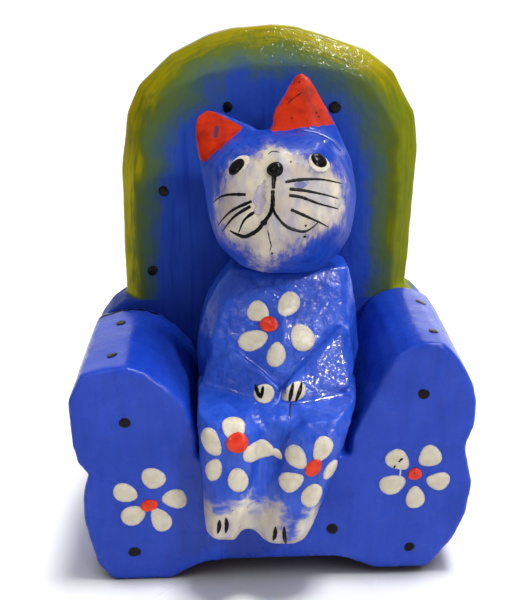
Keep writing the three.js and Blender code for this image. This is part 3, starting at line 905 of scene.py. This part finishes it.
# A flower is its name, what it is painted on, from where, its middle and its petals. The middle and
# each petal are (across, up, length, width, turn).
FLOWERS = (
    ("chest", body_ground, from_front, (-0.6, 64.6, 4.3, 3.8, 0),
     [(4.1, 68.9, 5.7, 4.4, 44), (-3.0, 67.2, 5.0, 4.2, -30), (7.3, 61.4, 6.2, 5.0, -56),
      (-4.3, 60.8, 6.8, 4.1, 22), (1.1, 57.8, 5.5, 3.9, 84)]),
    ("left_knee", body_ground, from_front, (-8.5, 42.7, 5.2, 4.9, 0),
     [(-9.2, 45.6, 5.5, 4.6, 90), (-14.7, 42.5, 6.2, 4.2, -51), (-14.2, 36.0, 5.1, 3.6, 65),
      (-8.4, 33.5, 5.5, 4.2, -84)]),
    ("right_knee", body_ground, from_front, (8.9, 36.1, 4.7, 3.4, 57),
     [(10.9, 40.5, 5.5, 4.0, 65), (4.9, 38.6, 5.4, 4.2, -51), (13.1, 34.6, 4.6, 3.8, 40),
      (3.8, 32.7, 5.5, 4.1, 24), (8.9, 29.1, 5.6, 4.4, 65)]),
    ("front_right", chair_ground, from_front, (34.5, 28.9, 3.6, 3.1, 25),
     [(37.8, 33.6, 5.3, 4.9, 40), (30.2, 32.8, 6.0, 4.3, -44), (40.3, 26.8, 5.1, 4.3, -8),
      (29.3, 26.1, 6.0, 4.6, 21), (35.0, 22.3, 5.7, 4.0, 88)]),
    ("front_left", chair_ground, from_front, (-30.1, 21.7, 4.2, 3.2, 20),
     [(-28.8, 29.1, 5.1, 5.1, 60), (-35.6, 25.3, 5.6, 4.3, -25), (-23.9, 23.4, 5.6, 4.5, -1),
      (-34.0, 19.0, 5.8, 4.5, 32), (-27.5, 17.6, 6.2, 4.2, -64)]),
)
for seed, (place, ground, aim, middle, petals) in enumerate(FLOWERS):
    flower = Dabs(place + "_petals", ground, 10 + seed)
    flower.flower(aim, petals, middle)
    if place == "left_knee":    # the fifth petal is smeared across the groove between the legs
        flower.dab(aim(-3.4, 39.2), 7.8, 4.8, -20, 0.35, straight=True)
        flower.dab(aim(0.6, 38.0), 2.6, 1.9, -20, straight=True)
    if place == "front_right":  # a drip joins two petals
        flower.stroke(aim, [(30.8, 31.2), (31.0, 29.6), (30.9, 28.4)], (0.5, 0.35, 0.5))
    flower.finish("white_paint", white)
    centre = Dabs(place + "_centre", ground, 20 + seed)
    centre.dab(aim(*middle[:2]), *middle[2:], height=0.35, lift=0.2)
    centre.finish("red_paint", red)

DOT = 2.9  # a dot's diameter
DOTS = (
    ("front_dots", chair_ground, from_front,
     [(-34.7, 44.3), (-34.3, 8.3), (35.3, 50.4), (14.8, 13.7), (34.4, 7.8)]),
    ("arm_dots", chair_ground, from_above, [(-38.3, 6.3), (-37.9, -14.4), (40.1, 6.4), (38.6, -14.6)]),
    ("backrest_dots", back_ground, from_front, [(-9.8, 111.7), (17.4, 111.5), (-26.7, 90.3), (-30.5, 68.7)]),
    ("left_side_dots", chair_ground, from_left, [(-12, 40), (6, 22), (-14, 10)]),
    ("right_side_dots", chair_ground, from_right, [(-12, 42), (6, 24), (-14, 11)]),
    ("rear_dots", back_ground, from_behind, [(-20, 105), (14, 96), (-10, 70), (24, 60), (-26, 38), (6, 30)]),
)
for seed, (name, ground, aim, places) in enumerate(DOTS):
    dots = Dabs(name, ground, 30 + seed)
    for across, up in places:
        size = dots.random.uniform(0.92, 1.08) * DOT
        dots.dab(aim(across, up), size, size * dots.random.uniform(0.82, 1.0),
                 dots.random.uniform(0, 180), height=0.16)
    dots.finish("black_paint", black)

paws = Dabs("paw_whites", body_ground, 41)
paws.dab(from_front(5.1, 49.8), 6.3, 4.2, 25, -0.2, height=0.45)
paws.dab(from_front(-2.0, 49.3), 5.0, 4.7, 0, height=0.45)
paw_whites = paws.finish("white_paint", white)

claws = Dabs("claws", Ground(cat_body_painted, paw_whites), 42)
for places, width in (
        ([(-4.0, 51.3), (-3.6, 49.9), (-2.9, 48.5)], 1.1),
        ([(-2.2, 51.2), (-2.4, 50.0), (-2.7, 48.5)], 0.8),
        ([(4.0, 47.9), (4.4, 50.0), (4.9, 52.0)], 1.0),
        ([(5.5, 47.9), (6.4, 50.1), (7.0, 52.0)], 1.0)):
    claws.stroke(from_front, places, (0.4, width, width, 0.4), height=0.16)
for places in (
        [(-13.4, 19.8), (-13.0, 21.4), (-12.9, 23.4)], [(-11.5, 20.0), (-11.2, 22), (-11.4, 24)],
        [(-0.3, 17.2), (0.1, 19.1), (0.2, 21.1)], [(2.7, 15.9), (2.3, 18.6), (2.2, 21.3)]):
    claws.stroke(from_front, places, (0.35, 1.0, 1.0, 0.3), height=0.2)
claws.finish("black_paint", black)

eye_whites = Dabs("eye_whites", head_ground, 51)
eye_whites.dab(on_face(-9.9, 6.2), 5.2, 3.6, 45, height=0.25)
eye_whites.dab(on_face(7.9, 6.4), 5.4, 4.5, -24, height=0.3)
eye_whites.finish("white_paint", white)

eye_blacks = Dabs("eye_blacks", head_ground, 52)
eye_blacks.dab(on_face(-10.5, 5.7), 4.6, 2.9, 54, height=0.4, lift=0.1)
eye_blacks.dab(on_face(7.8, 6.9), 4.2, 3.3, -24, height=0.4, lift=0.2)
eye_blacks.finish("black_paint", black)

nose = Dabs("nose", head_ground, 53)
nose.dab(on_face(-2.1, 4.7), 3.7, 3.4, height=1.1)
nose.finish("black_paint", black)

mouth = Dabs("mouth", head_ground, 54)
mouth.stroke(on_face, [(-2.3, 3.6), (-2.5, 1.6), (-2.5, 0.5)], (1.1, 0.9, 0.7), height=0.16)
mouth.stroke(
    on_face, [(-2.7, 0.1), (-2.7, -0.9), (-2.8, -3.5), (-3.4, -5.1), (-4.7, -6.8), (-5.8, -8.2),
              (-7.1, -9.1), (-9, -9.8), (-10.9, -9.1), (-12.2, -8.3)],
    (0.8, 1.0, 0.95, 0.8, 0.85, 1.0, 1.0, 0.9, 0.35), height=0.16)
mouth.stroke(
    on_face, [(-2.8, -3.3), (-2.3, -4.9), (-1.2, -6.4), (-0.1, -7.5), (1.4, -8.3), (4, -8.9),
              (5.7, -8.3), (7.7, -6.6)],
    (0.7, 0.6, 0.65, 0.75, 0.6, 0.3, 0.2), height=0.14)
mouth.dab(on_face(-4.7, -6.9), 1.5, 1.3, height=0.25)
mouth.finish("black_paint", black)

WHISKERS = (
    [(0.1, 1.9), (3.4, 2.5), (7.9, 2.7), (13.1, 2.1)],
    [(1, 0.4), (4.5, 0.1), (8.4, -0.6), (12.3, -1.4)],
    [(0.9, -1), (3.8, -1.4), (7.9, -2.8), (12.3, -3.7)],
    [(1.3, -4.1), (5.1, -5.7), (9.9, -7.8)],
    [(-8.6, -0.6), (-13.4, -0.5), (-15.8, -1.6)],
    [(-7.3, -2.1), (-11.9, -4.1), (-15, -6.9)],
    [(-7.6, -3.2), (-11.3, -5.4), (-13.9, -8.3)],
    [(-6.8, -4.5), (-9, -6.2), (-10.3, -8.9)],
)
whiskers = Dabs("whiskers", head_ground, 55)
for places in WHISKERS:
    whiskers.stroke(on_face, places, (0.65, 0.75, 0.6, 0.4, 0.2), height=0.1)
whiskers.finish("black_paint", ink)

brow = Dabs("brow_bead", head_ground, 57)
brow.stroke(on_face, BROW, (0.3, 0.8, 0.5, 0.9, 0.5, 0.8, 0.3), height=0.3)
brow_bead = brow.finish("cat_paint", run)

cracks = Dabs("face_cracks", head_ground, 56)
for places in (
        [(-3.9, -8.5), (-3.5, -10.3), (-3.1, -12.0), (-3.4, -12.9)],
        [(1.7, 21.8), (3.4, 23.4), (5.4, 24.7)],
        [(-3.6, 8.2), (-2.6, 8.9), (-1.0, 8.6)]):
    cracks.stroke(on_face, places, (0.12, 0.3, 0.2, 0.32, 0.12), height=0.03)
for x, z, size in (
        (4.7, 27.3, 0.5), (8.4, 19.6, 0.6), (8.9, 18.6, 0.5), (2.6, 18.2, 0.45), (1.4, 6.4, 0.5),
        (4.6, -7.6, 0.6), (4.4, -10.0, 0.7), (-2.9, -13.6, 0.6)):
    cracks.dab(on_face(x, z), size, 0.7 * size, 40 * x, height=0.05)
cracks.finish("black_paint", ink)

lap = Dabs("lap_bead", body_ground, 64)
lap.stroke(from_front, [(4.3, 47.3), (8.0, 47.5), (12.0, 47.8), (15.8, 48.1)],
           (0.4, 0.9, 0.6, 1.0, 0.6, 0.9, 0.4), height=0.3)
lap_bead = lap.finish("cat_paint", run)

marks = Dabs("lap_check", body_ground, 61)
marks.stroke(from_front, [(4.5, 47.7), (4.0, 46.6), (3.9, 45.5)], (0.2, 0.5, 0.35, 0.5, 0.15), height=0.04)
marks.finish("black_paint", ink)

chips = Dabs("petal_chips", chair_ground, 63)
for x, z, size, turn, lift in (
        (30.9, 33.2, 1.1, 40, 0.28), (30.5, 32.6, 0.7, -30, 0.28), (29.4, 31.2, 0.9, 70, 0.28),
        (34.3, 29.4, 0.6, 60, 0.5)):
    chips.dab(from_front(x, z), size, 0.6 * size, turn, height=0.1, lift=lift)
chips.finish("black_paint", ink)

# Painted shadow along the gap where the left arm meets the backrest.
seam = Dabs("gap_shadow_line", chair_ground, 62)
seam.stroke(
    from_above, [(-45.2, 14.7), (-43.6, 15.4), (-42, 15.0), (-40.2, 15.8), (-38, 15.1), (-36.4, 15.7),
                 (-34, 15.3), (-32.4, 15.9), (-31, 15.3), (-29, 15.7)],
    (0.4, 1.5, 0.7, 1.8, 0.6, 1.3, 0.8, 1.7, 0.7, 1.4, 0.9), height=0.12)
seam.finish("chair_paint", gap_shadow)


# ---------------- floor, light and camera

FLOOR_HALF = 60.0  # half the width of the sheet, in metres
FLOOR_WHITE = (0.94, 0.94, 0.94, 1)
CORNER_REACH = 10.0  # how far out the sheet is darkened by painted shade


def floor():
    """A wide white sheet with painted shade: darker in the corners where the figure stands on it."""
    paint = Paint("sheet")
    # Painted shade: the sheet turns to the shade colour where the figure closes it in.
    corner = paint.nodes.new("ShaderNodeAmbientOcclusion")
    paint.set(corner, "Distance", CORNER_REACH * MM)
    open_share = paint.span(corner.outputs["AO"], 0.2, 0.8)
    paint.finish(Base_Color=paint.blend(open_share, PAINTED_FLOOR_SHADE, FLOOR_WHITE), Roughness=0.9)
    mesh = bpy.data.meshes.new("floor")
    low, high = -FLOOR_HALF, FLOOR_HALF
    corners = [(low, low, 0), (high, low, 0), (high, high, 0), (low, high, 0)]
    mesh.from_pydata(corners, [], [(0, 1, 2, 3)])
    obj = add_object("floor", mesh)
    obj.data.materials.append(paint.material)
    return obj


def lamp(name, place, strength, angle, only=None, all_but=None, glints=False):
    """A lamp so far off that its light comes evenly, from the direction of place.

    It reaches everything, one thing only, or all but one thing. A lamp for glints shows in gloss
    alone. The angle is how wide it looks, in degrees.
    """
    data = bpy.data.lights.new(name, "SUN")
    data.energy = strength
    data.angle = math.radians(angle)
    obj = add_object(name, data)
    obj.rotation_euler = (-Vector(place)).to_track_quat("-Z", "Y").to_euler()
    obj.visible_diffuse = not glints
    if only or all_but:
        reached = bpy.data.collections.new(name + "_reach")
        reached.objects.link(only or all_but)
        reached.collection_objects[0].light_linking.link_state = "INCLUDE" if only else "EXCLUDE"
        obj.light_linking.receiver_collection = reached


def room(low, high, behind):
    """Light from low to high upward, with more from behind; the camera sees plain white."""
    data = bpy.data.worlds.new("room")
    data.use_nodes = True
    tree = data.node_tree
    place = tree.nodes.new("ShaderNodeTexCoord")
    parts = tree.nodes.new("ShaderNodeSeparateXYZ")
    tree.links.new(place.outputs["Generated"], parts.inputs["Vector"])

    def rise(axis, start, end, at_start, at_end):
        node = tree.nodes.new("ShaderNodeMapRange")
        node.interpolation_type = "SMOOTHSTEP"
        tree.links.new(parts.outputs[axis], node.inputs["Value"])
        node.inputs["From Min"].default_value = start
        node.inputs["From Max"].default_value = end
        node.inputs["To Min"].default_value = at_start
        node.inputs["To Max"].default_value = at_end
        return node.outputs["Result"]

    def combine(operation, first, second):
        node = tree.nodes.new("ShaderNodeMath")
        node.operation = operation
        tree.links.new(first, node.inputs[0])
        tree.links.new(second, node.inputs[1])
        return node.outputs[0]

    wall = combine("MULTIPLY", rise("Y", 0.1, 0.7, 0, behind), rise("Z", 0.35, 0.65, 1, 0))
    wall = combine("MULTIPLY", wall, rise("X", -0.5, 0.5, 0.75, 2.1))
    level = combine("ADD", wall, rise("Z", 0, 0.6, low, high))
    seen = tree.nodes.new("ShaderNodeLightPath").outputs["Is Camera Ray"]
    tree.links.new(combine("MAXIMUM", level, seen), tree.nodes["Background"].inputs["Strength"])
    tree.nodes["Background"].inputs["Color"].default_value = (1, 1, 1, 1)
    scene.world = data


def camera():
    """The camera that was worked out from the photograph."""
    data = bpy.data.cameras.new("camera")
    data.sensor_width = 36
    data.lens = CAMERA_LENS
    data.clip_start = 0.01
    obj = add_object("camera", data)
    obj.location = metres(*CAMERA_PLACE)
    obj.rotation_euler = (math.radians(90 - CAMERA_PITCH), 0, math.radians(-CAMERA_YAW))
    scene.camera = obj


scene.view_settings.view_transform = "Standard"
sheet = floor()
room(0.12, 0.50, 0.9)
lamp("overhead", (0.32, 0.02, 0.95), 2.15, 12, all_but=sheet)
lamp("sheet_lamp", (0.14, 0.02, 0.99), 2.3, 12, only=sheet)
lamp("key", (0.56, -0.50, 0.66), 1.65, 8, all_but=sheet)
lamp("low_spark", (0.46, -0.86, 0.22), 0.85, 4, glints=True)
lamp("left_spark", (-0.36, -0.80, 0.48), 0.35, 4, glints=True)
lamp("middle_spark", (0.39, -0.45, 0.80), 0.7, 4, glints=True)
lamp("high_spark", (0.46, 0.22, 0.86), 1.8, 5, glints=True)
lamp("lap_spark", (0.36, -0.50, 0.79), 9, 10, glints=True, only=lap_bead)
lamp("brow_spark", (0.30, 0.60, 0.74), 12, 70, glints=True, only=brow_bead)
camera()
